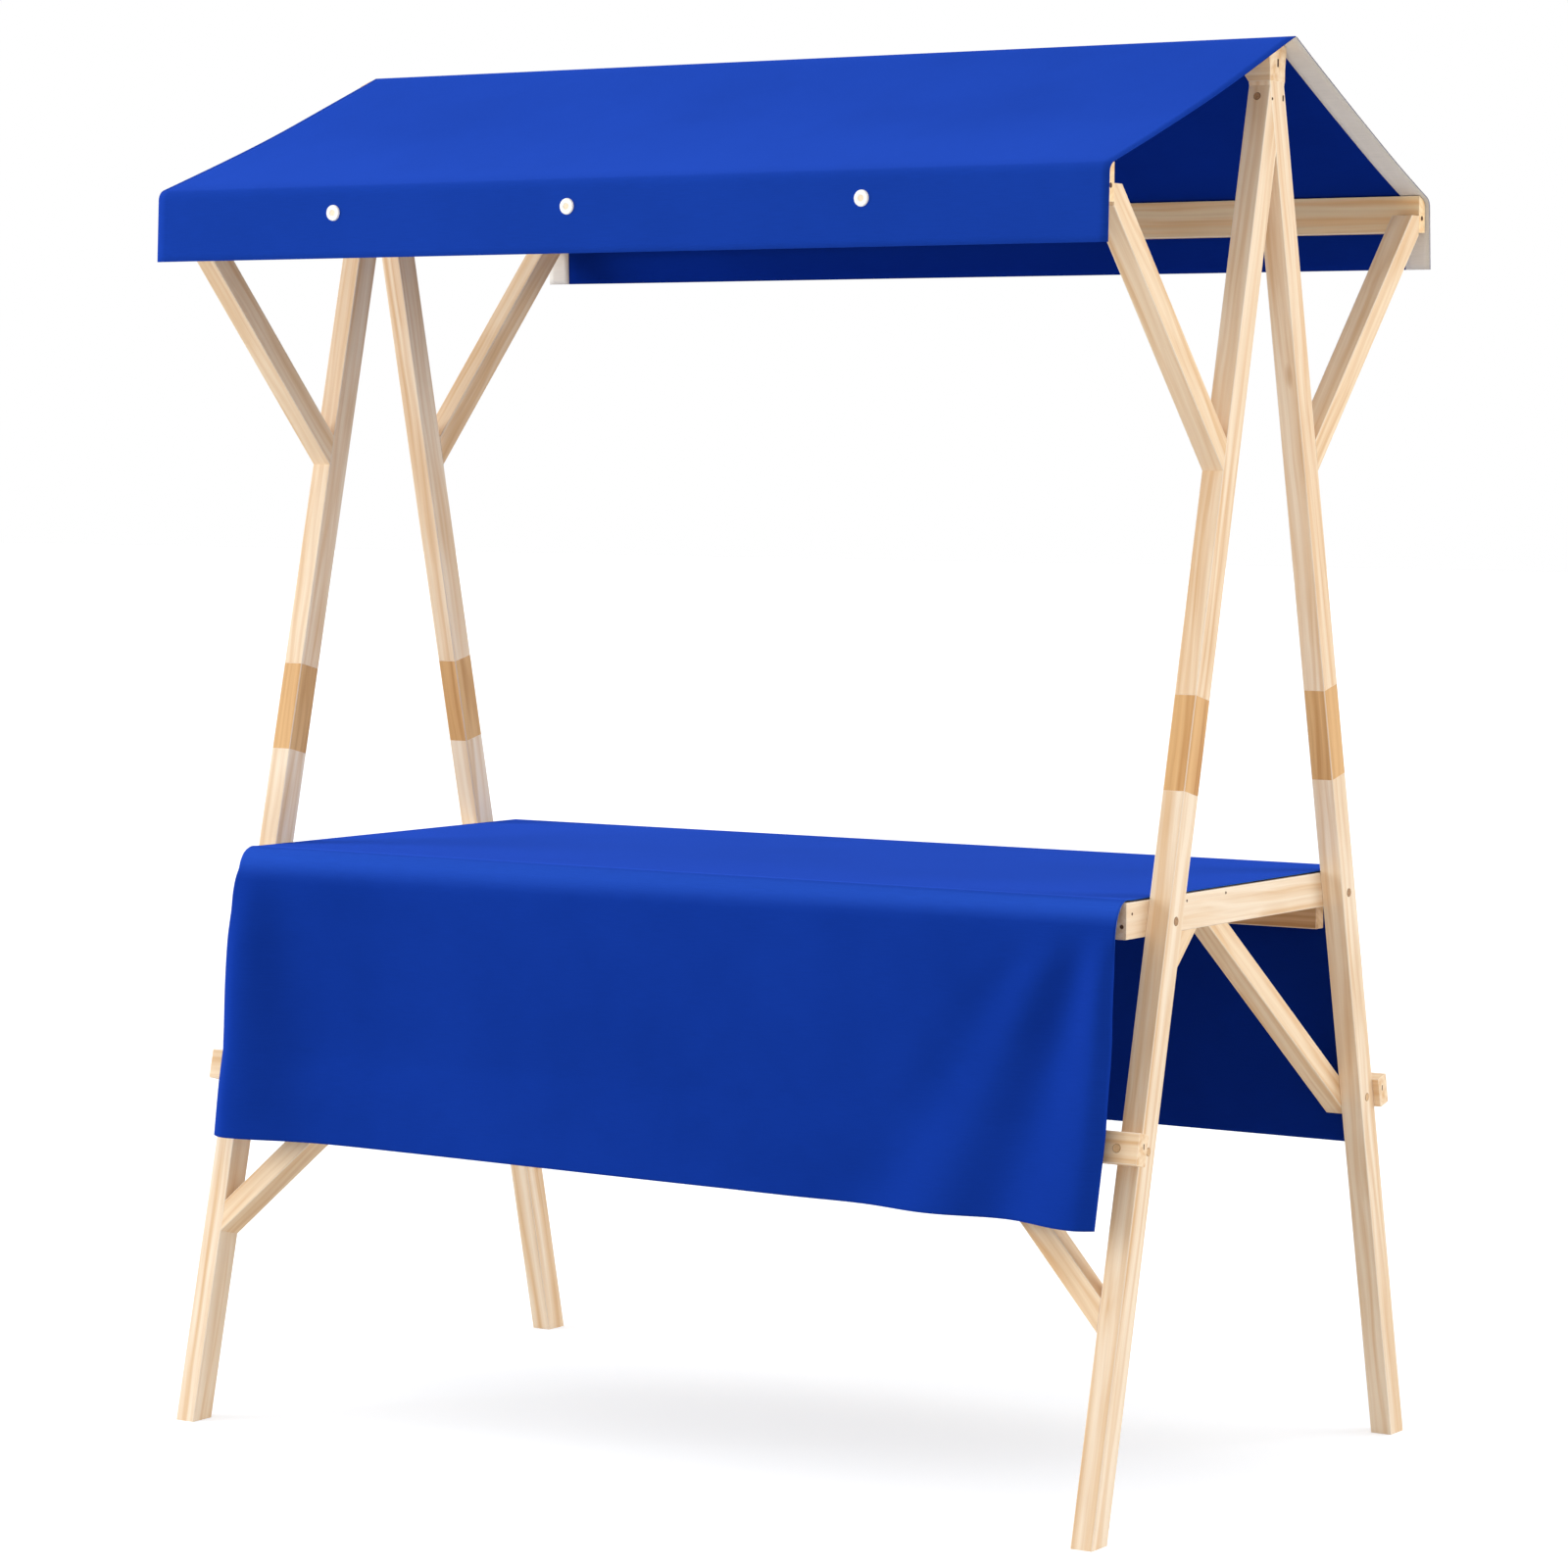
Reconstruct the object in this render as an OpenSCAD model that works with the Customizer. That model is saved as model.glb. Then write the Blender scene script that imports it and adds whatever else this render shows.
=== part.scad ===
// Market stall: two splayed A-frames carry a ridge beam, eave purlins, a counter and two cloths.
// X runs along the counter, -Y is the customer's side, +Z is up, and the origin is on the floor
// midway between the four feet.

/* [Leg frames] */
// Distance between the outer faces of the two A-frames
frame_length = 1794; // [1400:1:2400]
// Width of a leg along the counter
leg_w = 38; // [28:1:60]
// Depth of a leg in the plane of its A-frame
leg_d = 48; // [36:1:70]
// Distance from the front edge of a front foot to the back edge of a back foot
foot_spread = 1108; // [960:1:1200]
// Height of the level cut across the leg tops
leg_top = 2252; // [1950:1:2650]
// Distance from the ridge line to the outer face of a leg at its top
apex_offset = 23; // [18:1:26]
// Height along the leg at which the splice starts
splice_start = 1176; // [1000:1:1300]
// Length of the splice block
splice_len = 152; // [100:1:200]
// Length of the tenon at each end of a splice block
tenon_len = 60; // [30:1:90]
// Wood left on each side of a tenon, along the counter
tenon_shoulder_w = 10; // [6:1:14]
// Wood left on each side of a tenon, in the plane of the frame
tenon_shoulder_d = 12; // [8:1:16]
// Play around and beyond a tenon
tenon_play = 0.3; // [0.1:0.1:1]

/* [Roof] */
// Height of the outer skin of the canopy above the leg tops, at the ridge
ridge_rise = 71; // [60:1:90]
// Distance between the outer skins of the two valances
eave_span = 1124; // [940:1:1300]
// Pitch of the roof, in degrees
roof_pitch = 22.25; // [20:0.25:25]
// Height of the upright part of the valances
valance_drop = 102; // [70:1:160]
// Radius of the canopy where it turns down over an eave purlin
eave_radius = 20; // [16:1:28]
// Distance that the canopy reaches past the A-frames at each end
canopy_overhang = 7; // [0:1:60]
// Thickness of the canopy solid
canopy_t = 4; // [2:0.5:6]
// Width of the ridge beam at its top
ridge_w = 60; // [56:1:80]
// Depth of the ridge beam between the A-frames
ridge_depth = 34; // [20:1:44]
// Length of the sloped shoulder beside each bearing block of the ridge beam
ridge_shoulder = 14; // [6:1:30]
// Thickness of an eave purlin
purlin_t = 24; // [18:1:36]
// Height of the inner face of an eave purlin
purlin_h = 62; // [50:1:80]
// Depth of a roof strut in the plane of its A-frame
strut_d = 42; // [30:1:50]
// Slope of a roof strut above the horizontal, in degrees
strut_slope = 47; // [45:0.5:50]
// Height of the plumb cut of a roof strut against its purlin
strut_plumb = 34; // [24:1:44]
// Drop from the inner top edge of a purlin to the level cut of a strut
strut_drop = 34; // [20:1:40]

/* [Counter] */
// Height of the tops of the side rails and of the tabletop
counter_top = 977; // [900:1:1050]
// Height of a side rail
side_rail_h = 57; // [44:1:70]
// Thickness of a side rail
side_rail_t = 38; // [28:1:44]
// Distance that a side rail reaches past the legs at each end
side_rail_overhang = 67; // [40:1:90]
// Thickness of the tabletop
tabletop_t = 30; // [28:1:40]
// Distance that the tabletop reaches past the side rails at the front
tabletop_nose = 21; // [0:1:30]
// Radius of the rounded front edge of the tabletop
nose_radius = 28; // [10:1:28]
// Gap between the tabletop and a side rail
tabletop_gap = 1; // [0.5:0.5:3]
// Height of the back rail under the tabletop
table_rail_h = 71; // [50:1:90]
// Thickness of the rails under the tabletop
table_rail_t = 28; // [20:1:40]
// Distance of those rails from the ends of the side rails
table_rail_inset = 30; // [10:1:60]

/* [Braces and stretchers] */
// Depth of a knee brace in the plane of its A-frame
knee_d = 38; // [30:1:46]
// Distance between the heads of the two knee braces under a side rail
knee_gap = 41; // [20:1:80]
// Drop from the counter to the level cut at the foot of a back knee brace
knee_drop = 415; // [380:1:440]
// Thickness of a front knee brace
front_knee_t = 20; // [16:1:30]
// Slope of a front knee brace above the horizontal, in degrees
front_knee_slope = 42; // [38:0.5:46]
// Distance from a front leg to the head of its knee brace
front_knee_seat = 125; // [100:1:150]
// Lap of a front knee brace on the inner side of its leg
front_knee_lap = 10; // [6:1:20]
// Height of a stretcher, measured along the leg
stretcher_h = 50; // [40:1:60]
// Thickness of a stretcher
stretcher_t = 30; // [20:1:40]
// Height along the leg of the lower edge of a stretcher
stretcher_start = 590; // [540:1:640]
// Distance that a stretcher reaches past the A-frames at each end
stretcher_overhang = 11; // [0:1:40]
// Width of the front face of a stretcher brace
stretcher_brace_w = 38; // [28:1:48]
// Height along the leg of the lower tip of a stretcher brace
stretcher_brace_start = 330; // [280:1:380]

/* [Cloths] */
// Gap between the tablecloth and the legs at each end
cloth_side_gap = 3; // [1:0.5:20]
// Thickness of the tablecloth solid
cloth_t = 3; // [1:0.5:5]
// Drop of the tablecloth below the front stretcher
cloth_front_drop = 94; // [40:1:160]
// Drop of the tablecloth below the counter at the back
cloth_back_drop = 462; // [420:1:520]

/* [Hidden] */
// Clearance between a cloth and what it lies on
cloth_clear = 0.5;
// Segments of a rounded cloth fold or a rounded edge
fold_steps = 6;
// Reach of cutting blocks past the wood
cut_reach = 3000;

frame_half = frame_length / 2;
leg_inner = frame_half - leg_w;
foot_half = foot_spread / 2;
// Lean of each leg away from upright, so that the legs cross under the ridge
splay = atan((foot_half - apex_offset) / leg_top);
// Horizontal depth of a leg
leg_run = leg_d / cos(splay);
splice_end = splice_start + splice_len;

eave_half = eave_span / 2;
canopy_half = frame_half + canopy_overhang;
ridge_top = leg_top + ridge_rise;
roof_skin = canopy_t + cloth_clear;
eave_center_y = eave_half - eave_radius;
eave_center_z = ridge_top - tan(roof_pitch) * eave_center_y - eave_radius / cos(roof_pitch);
valance_bottom = eave_center_z - valance_drop;
purlin_outer = eave_half - roof_skin;
purlin_inner = purlin_outer - purlin_t;
purlin_top = roof_height(purlin_inner, roof_skin);
purlin_bottom = purlin_top - purlin_h;
strut_cut = purlin_top - strut_drop;

rail_outer = leg_inner;
rail_inner = leg_inner - side_rail_t;
rail_bottom = counter_top - side_rail_h;
rail_half = side_rail_overhang - leg_face(counter_top - side_rail_h / 2);
knee_foot = counter_top - knee_drop;
front_knee_head = leg_face(rail_bottom) + leg_run + front_knee_seat;
tabletop_bottom = counter_top - tabletop_t;
tabletop_front = rail_half + tabletop_nose;
tabletop_half = rail_inner - tabletop_gap;

stretcher_end = stretcher_start + stretcher_h;
cloth_half = leg_inner - cloth_side_gap;
cloth_skin = cloth_t + cloth_clear;
cloth_front_hem = on_leg(-stretcher_t, stretcher_start)[1] - cloth_front_drop;
cloth_back_hem = counter_top - cloth_back_drop;
// The back drop stays inside the back stretcher
cloth_back = min(rail_half, -on_leg(0, stretcher_end)[0] - cloth_skin - cloth_clear);

// Height of the roof plane at a distance from the ridge, a given depth below the outer skin
function roof_height(y, depth) = ridge_top - tan(roof_pitch) * y - depth / cos(roof_pitch);
// Y of the outer face of a front leg at a height
function leg_face(z) = -foot_half + tan(splay) * z;
// Points of an arc in the Y-Z plane
function arc(y, z, r, a0, a1) =
  [for (i = [0:fold_steps]) let (a = a0 + (a1 - a0) * i / fold_steps) [y + r * cos(a), z + r * sin(a)]];
// Place in the Y-Z plane of a point given in the frame of a front leg
function on_leg(y, z) =
  [-foot_half + z * sin(splay) + y * cos(splay), z * cos(splay) - y * sin(splay)];
// Height at which a strut edge that starts at a height on the purlin meets the leg
function strut_height(z) =
  (z + tan(strut_slope) * (foot_half - purlin_inner)) / (1 + tan(strut_slope) * tan(splay));
// Height at which the edge of a front knee brace, extended to a height under the ridge, meets its end cut
function knee_height(z) =
  (z - tan(front_knee_slope) * (foot_half - leg_run + front_knee_lap))
  / (1 - tan(front_knee_slope) * tan(splay));
function flip(points) = [for (i = [len(points) - 1:-1:0]) [-points[i][0], points[i][1]]];

// Extrudes an outline given as Y-Z points along the counter
module across(x0, x1) {
  translate([x0, 0, 0])
    rotate([90, 0, 90])
      linear_extrude(height = x1 - x0)
        children();
}

module mirrored_x(side) {
  mirror([side < 0 ? 1 : 0, 0, 0]) children();
}

module mirrored_y(end) {
  mirror([0, end > 0 ? 1 : 0, 0]) children();
}

// Stands in the frame of the front right leg: y = 0 on its front face, z along the leg
module leg_axes() {
  translate([0, -foot_half, 0])
    rotate([-splay, 0, 0])
      children();
}

// One stretch of leg stock between two square cuts
module leg_stock(z0, z1) {
  leg_axes()
    translate([leg_inner, 0, z0])
      cube([leg_w, leg_d, z1 - z0]);
}

module tenon(z0, z1, play) {
  leg_axes()
    translate([leg_inner + tenon_shoulder_w - play, tenon_shoulder_d - play, z0])
      cube([leg_w - 2 * tenon_shoulder_w + 2 * play, leg_d - 2 * tenon_shoulder_d + 2 * play, z1 - z0]);
}

module leg_lower() {
  color("burlywood")
    difference() {
      leg_stock(-leg_d, splice_start);
      translate([0, -cut_reach, -cut_reach])
        cube([cut_reach, 2 * cut_reach, cut_reach]);
      tenon(splice_start - tenon_len - tenon_play, splice_start + tenon_play, tenon_play);
    }
}

module leg_splice() {
  color("peru") {
    leg_stock(splice_start, splice_end);
    tenon(splice_start - tenon_len, splice_end + tenon_len, 0);
  }
}

// Upper stretch of leg below the level cut across the leg tops
module leg_upper_stock() {
  intersection() {
    leg_stock(splice_end, cut_reach);
    translate([0, -cut_reach, 0])
      cube([cut_reach, 2 * cut_reach, leg_top]);
  }
}

// Half-lap at the apex: the back leg keeps the outer half, the front leg the inner half
module leg_upper(end) {
  lap_x = end < 0 ? leg_inner + leg_w / 2 : leg_inner - leg_w / 2;
  color("burlywood")
    difference() {
      leg_upper_stock();
      intersection() {
        mirror([0, 1, 0]) leg_stock(splice_end, cut_reach);
        translate([lap_x, -cut_reach, 0])
          cube([leg_w, 2 * cut_reach, cut_reach]);
      }
      tenon(splice_end - tenon_play, splice_end + tenon_len + tenon_play, tenon_play);
    }
}

// Coved beam with roof bevels, deeper where it bears on the leg tops
module ridge_beam() {
  seat_half = foot_half - tan(splay) * leg_top;
  seat_w = leg_run - seat_half;
  bevel_top = roof_height(ridge_w / 2, roof_skin);
  cove_r = (bevel_top - leg_top) * 0.8;
  flank = [
    [seat_w, leg_top],
    [seat_w, leg_top + (bevel_top - leg_top) * 0.35],
    [seat_w + (ridge_w / 2 - seat_w) * 0.35, leg_top + cove_r * 0.72],
    [ridge_w / 2, bevel_top - 8],
    [ridge_w / 2, bevel_top]
  ];
  color("burlywood")
    intersection() {
      across(-frame_half, frame_half)
        polygon(concat(flank, [[0, roof_height(0, roof_skin)]], flip(flank)));
      translate([0, ridge_w, 0])
        rotate([90, 0, 0])
          linear_extrude(height = 2 * ridge_w)
            polygon([
              [-frame_half, leg_top], [-leg_inner, leg_top],
              [-leg_inner + ridge_shoulder, bevel_top - ridge_depth],
              [leg_inner - ridge_shoulder, bevel_top - ridge_depth],
              [leg_inner, leg_top], [frame_half, leg_top],
              [frame_half, ridge_top], [-frame_half, ridge_top]
            ]);
    }
}

// Board on edge whose top follows the underside of the canopy
module eave_purlin() {
  color("burlywood")
    across(-frame_half, frame_half)
      polygon(concat(
        [[-purlin_outer, purlin_bottom]],
        arc(-eave_center_y, eave_center_z, eave_radius - roof_skin, 180, 90 + roof_pitch),
        [[-purlin_inner, purlin_top], [-purlin_inner, purlin_bottom]]
      ));
}

// Strut mitred on the leg, plumb against the purlin and level on top
module roof_strut() {
  rise = tan(strut_slope);
  face = strut_d / cos(strut_slope);
  toe_z = strut_height(strut_cut - strut_plumb);
  heel_z = strut_height(strut_cut - strut_plumb + face);
  color("wheat")
    across(leg_inner, frame_half)
      polygon([
        [leg_face(toe_z), toe_z],
        [leg_face(heel_z), heel_z],
        [-purlin_inner + (face - strut_plumb) / rise, strut_cut],
        [-purlin_inner, strut_cut],
        [-purlin_inner, strut_cut - strut_plumb]
      ]);
}

module side_rail() {
  color("wheat")
    translate([rail_inner, -rail_half, rail_bottom])
      cube([side_rail_t, 2 * rail_half, side_rail_h]);
}

// Rail between the side rails, under the front or the back of the tabletop
module table_rail(height) {
  color("tan")
    translate([-rail_inner, -rail_half + table_rail_inset, tabletop_bottom - height])
      cube([2 * rail_inner, table_rail_t, height]);
}

// Board with a rounded front edge between the side rails
module tabletop() {
  color("tan")
    across(-tabletop_half, tabletop_half)
      polygon(concat(
        [[-tabletop_front, tabletop_bottom]],
        arc(-tabletop_front + nose_radius, counter_top - nose_radius, nose_radius, 180, 90),
        [[rail_half, counter_top], [rail_half, tabletop_bottom]]
      ));
}

// Diagonal from the inner side of a back leg up to the underside of the side rail
module back_knee_brace() {
  end_y = cloth_back - cloth_clear;
  toe_y = end_y - 7;
  head_y = front_knee_head + knee_gap;
  slope = atan((rail_bottom - knee_foot) / (toe_y - head_y));
  rise = tan(slope);
  face = knee_d / cos(slope);
  color("wheat")
    across(rail_inner, rail_outer)
      polygon([
        [head_y, rail_bottom],
        [toe_y, knee_foot],
        [end_y, knee_foot],
        [end_y, knee_foot - rise * (end_y - toe_y) + face],
        [head_y + face / rise, rail_bottom]
      ]);
}

// Short diagonal from the inner side of a front leg up to the side rail
module front_knee_brace() {
  rise = tan(front_knee_slope);
  face = knee_d / cos(front_knee_slope);
  toe_z = knee_height(rail_bottom - rise * front_knee_head);
  heel_z = knee_height(rail_bottom - rise * front_knee_head + face);
  color("tan")
    across(rail_outer - front_knee_t, rail_outer)
      polygon([
        [front_knee_head, rail_bottom],
        [front_knee_head - face / rise, rail_bottom],
        [leg_face(heel_z) + leg_run - front_knee_lap, heel_z],
        [leg_face(toe_z) + leg_run - front_knee_lap, toe_z]
      ]);
}

module stretcher() {
  color("wheat")
    leg_axes()
      translate([-frame_half - stretcher_overhang, -stretcher_t, stretcher_start])
        cube([frame_length + 2 * stretcher_overhang, stretcher_t, stretcher_h]);
}

// Diagonal in the plane of the front legs, from a leg up behind the stretcher
module stretcher_brace() {
  face = stretcher_brace_w * sqrt(2);
  run = stretcher_end - stretcher_brace_start;
  color("tan")
    leg_axes()
      translate([0, leg_d, 0])
        rotate([90, 0, 0])
          linear_extrude(height = leg_d)
            polygon([
              [leg_inner, stretcher_brace_start],
              [leg_inner, stretcher_brace_start + face],
              [leg_inner - run + face, stretcher_end],
              [leg_inner - run, stretcher_end]
            ]);
}

// Skin of the tablecloth at a distance off the wood: over the top, down the front, down the back
function cloth_path(off) = concat(
  [[on_leg(-stretcher_t, stretcher_start)[0] - off, cloth_front_hem]],
  [on_leg(-stretcher_t, stretcher_start) - [off, 0]],
  [on_leg(-stretcher_t, stretcher_end) - [off, 0]],
  arc(-tabletop_front + nose_radius, counter_top - nose_radius, nose_radius + off, 180, 90),
  arc(rail_half, counter_top, off, 90, 0),
  [[cloth_back + off, cloth_back_hem]]
);

module tablecloth() {
  inner = cloth_path(cloth_clear);
  color("royalblue")
    across(-cloth_half, cloth_half)
      polygon(concat(cloth_path(cloth_skin), [for (i = [len(inner) - 1:-1:0]) inner[i]]));
}

// One half of the canopy skin, from the front hem up to the ridge
function canopy_path(off) = concat(
  [[-eave_half + off, valance_bottom]],
  arc(-eave_center_y, eave_center_z, eave_radius - off, 180, 90 + roof_pitch),
  [[0, roof_height(0, off)]]
);

module canopy() {
  outer = canopy_path(0);
  inner = canopy_path(canopy_t);
  color("royalblue")
    across(-canopy_half, canopy_half)
      difference() {
        polygon(concat(outer, flip(outer)));
        polygon(concat([[inner[0][0], valance_bottom - canopy_t]], inner,
          flip(inner), [[-inner[0][0], valance_bottom - canopy_t]]));
      }
}

mirrored_x(-1) leg_lower();  // front_left_leg_lower
mirrored_x(-1) leg_splice();  // front_left_leg_splice
mirrored_x(-1) leg_upper(-1);  // front_left_leg_upper
leg_lower();  // front_right_leg_lower
leg_splice();  // front_right_leg_splice
leg_upper(-1);  // front_right_leg_upper
mirrored_y(1) mirrored_x(-1) leg_lower();  // back_left_leg_lower
mirrored_y(1) mirrored_x(-1) leg_splice();  // back_left_leg_splice
mirrored_y(1) mirrored_x(-1) leg_upper(1);  // back_left_leg_upper
mirrored_y(1) leg_lower();  // back_right_leg_lower
mirrored_y(1) leg_splice();  // back_right_leg_splice
mirrored_y(1) leg_upper(1);  // back_right_leg_upper
ridge_beam();
eave_purlin();  // front_eave_purlin
mirrored_y(1) eave_purlin();  // back_eave_purlin
mirrored_x(-1) roof_strut();  // front_left_roof_strut
roof_strut();  // front_right_roof_strut
mirrored_y(1) mirrored_x(-1) roof_strut();  // back_left_roof_strut
mirrored_y(1) roof_strut();  // back_right_roof_strut
mirrored_x(-1) side_rail();  // left_side_rail
side_rail();  // right_side_rail
table_rail(side_rail_h - tabletop_t);  // front_table_rail
mirrored_y(1) table_rail(table_rail_h);  // back_table_rail
tabletop();
mirrored_x(-1) front_knee_brace();  // front_left_knee_brace
front_knee_brace();  // front_right_knee_brace
mirrored_x(-1) back_knee_brace();  // back_left_knee_brace
back_knee_brace();  // back_right_knee_brace
stretcher();  // front_stretcher
mirrored_y(1) stretcher();  // back_stretcher
mirrored_x(-1) stretcher_brace();  // left_stretcher_brace
stretcher_brace();  // right_stretcher_brace
tablecloth();
canopy();
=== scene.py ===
import math
import bmesh
import bpy
from mathutils import Matrix, Vector, noise


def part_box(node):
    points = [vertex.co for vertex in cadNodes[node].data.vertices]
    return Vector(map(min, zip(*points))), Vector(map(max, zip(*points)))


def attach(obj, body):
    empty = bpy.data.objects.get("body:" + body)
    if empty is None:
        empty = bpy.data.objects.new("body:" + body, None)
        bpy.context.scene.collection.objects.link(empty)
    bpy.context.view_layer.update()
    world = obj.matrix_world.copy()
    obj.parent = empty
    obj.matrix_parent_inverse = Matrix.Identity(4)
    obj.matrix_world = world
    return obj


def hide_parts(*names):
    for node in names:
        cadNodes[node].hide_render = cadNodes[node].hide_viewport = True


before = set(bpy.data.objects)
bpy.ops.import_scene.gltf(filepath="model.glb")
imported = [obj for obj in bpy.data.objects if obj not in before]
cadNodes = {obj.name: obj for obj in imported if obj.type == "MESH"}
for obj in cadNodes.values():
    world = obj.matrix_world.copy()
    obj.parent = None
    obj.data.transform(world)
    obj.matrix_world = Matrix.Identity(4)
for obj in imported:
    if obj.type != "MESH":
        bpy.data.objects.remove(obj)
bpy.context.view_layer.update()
print("frame loaded:", len(cadNodes), "nodes")


def blend(first, last, part):
    return first + (last - first) * part


def limit(value, low=0.0, high=1.0):
    return min(max(value, low), high)


def toLinear(red, green, blue):
    parts = [channel / 255 for channel in (red, green, blue)]
    return tuple(p / 12.92 if p <= 0.04045 else ((p + 0.055) / 1.055) ** 2.4 for p in parts) + (1.0,)


def addNode(tree, kind, place, **settings):
    node = tree.nodes.new(kind)
    node.location = place
    for name, value in settings.items():
        if hasattr(node, name):
            setattr(node, name, value)
        else:
            node.inputs[name.replace("_", " ")].default_value = value
    return node


def startMaterial(name):
    material = bpy.data.materials.new(name)
    material.use_nodes = True
    return material, material.node_tree, material.node_tree.nodes["Principled BSDF"]


def feed(tree, sockets, values):  # links what comes from a node, sets what is a number or a colour
    for socket, value in zip(sockets, values):
        if isinstance(value, bpy.types.NodeSocket):
            tree.links.new(value, socket)
        else:
            socket.default_value = value


def addMath(tree, operation, place, *values):
    node = addNode(tree, "ShaderNodeMath", place, operation=operation)
    feed(tree, node.inputs, values)
    return node.outputs[0]


def addStretch(tree, vector, place, scale):
    node = addNode(tree, "ShaderNodeMapping", place, Scale=scale)
    tree.links.new(vector, node.inputs["Vector"])
    return node.outputs[0]


def addRamp(tree, factor, place, stops):
    node = addNode(tree, "ShaderNodeValToRGB", place)
    while len(node.color_ramp.elements) < len(stops):
        node.color_ramp.elements.new(0.5)
    for element, (position, colour) in zip(node.color_ramp.elements, stops):
        element.position = position
        element.color = colour if len(colour) == 4 else tuple(colour) + (1.0,)
    tree.links.new(factor, node.inputs["Fac"])
    return node.outputs["Color"]


def addMix(tree, blendType, place, factor, first, second):
    node = addNode(tree, "ShaderNodeMix", place, data_type="RGBA", blend_type=blendType)
    feed(tree, (node.inputs["Factor"], node.inputs[6], node.inputs[7]), (factor, first, second))
    return node.outputs[2]


def addNoise(tree, vector, place, layer):
    node = addNode(tree, "ShaderNodeTexNoise", place, Scale=1.0, Detail=layer["detail"], Roughness=0.55)
    stretched = addStretch(tree, vector, (place[0] - 200, place[1]), layer["scale"])
    tree.links.new(stretched, node.inputs["Vector"])
    return node


waveUnit = 0.31416  # a wave texture's scale times the pitch of its bands

# Planed softwood: soft streaks, faint rings, fibres, blotches and a few pale knots, on the board's own grain axes, with
# a painted highlight along the eased arrises; two tones are warmed as painted shade under the canopy
woodTones = {
    "legPine": {"early": (251, 232, 207), "late": (236, 203, 163), "knot": (198, 148, 96),
                "spacing": 0.013, "rough": 0.56},
    "battenPine": {"early": (250, 225, 192), "late": (234, 195, 148), "knot": (192, 142, 92),
                   "spacing": 0.011, "rough": 0.58},
    # upper legs: a slightly warmer copy of the leg tone, partly painted warm shade from the canopy
    "upperPineWarmShade": {"early": (251, 229, 200), "late": (236, 199, 156), "knot": (196, 146, 94),
                  "spacing": 0.012, "rough": 0.57},
    # eave purlins: a warmer, more saturated copy of the batten tone, painted warm shade under the canopy
    "purlinPineWarmShade": {"early": (255, 228, 184), "late": (250, 205, 148), "knot": (192, 138, 84),
                   "spacing": 0.011, "rough": 0.58},
    "spliceOak": {"early": (229, 184, 128), "late": (206, 155, 98), "knot": (164, 112, 64),
                  "spacing": 0.009, "rough": 0.54},
    "boardPine": {"early": (232, 200, 162), "late": (208, 168, 124), "knot": (160, 112, 70),
                  "spacing": 0.012, "rough": 0.62},
}
woodLayers = {  # a scale counts repeats in a metre, twice across the grain and once along it
    "wander": {"scale": (9.0, 9.0, 1.7), "detail": 2.0, "reach": (0.045, 0.045, 0.0)},
    "streak": {"scale": (64.0, 64.0, 1.0), "detail": 3.0, "late": 0.33, "early": 0.58},
    "rings": {"share": 0.55, "distortion": 1.8, "stops": [(0.3, (1, 1, 1)), (1.0, (0.92, 0.86, 0.79))]},
    "blotch": {"scale": (15.0, 15.0, 4.2), "detail": 1.0, "share": 0.7,
               "stops": [(0.52, (1, 1, 1)), (0.76, (0.86, 0.76, 0.64))]},
    "fibre": {"scale": (420.0, 420.0, 6.0), "detail": 3.0, "share": 0.55, "roughening": 0.16,
              "stops": [(0.3, (0.93, 0.90, 0.86)), (0.66, (1.02, 1.02, 1.02))]},
    "knots": {"scale": (8.0, 8.0, 2.6), "stops": [(0.02, (0.85, 0.85, 0.85)), (0.075, (0, 0, 0))]},
    # painted highlight: the eased arrises made paler
    "arris": {"share": 0.55, "tone": (255, 242, 224)},
}


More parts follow.
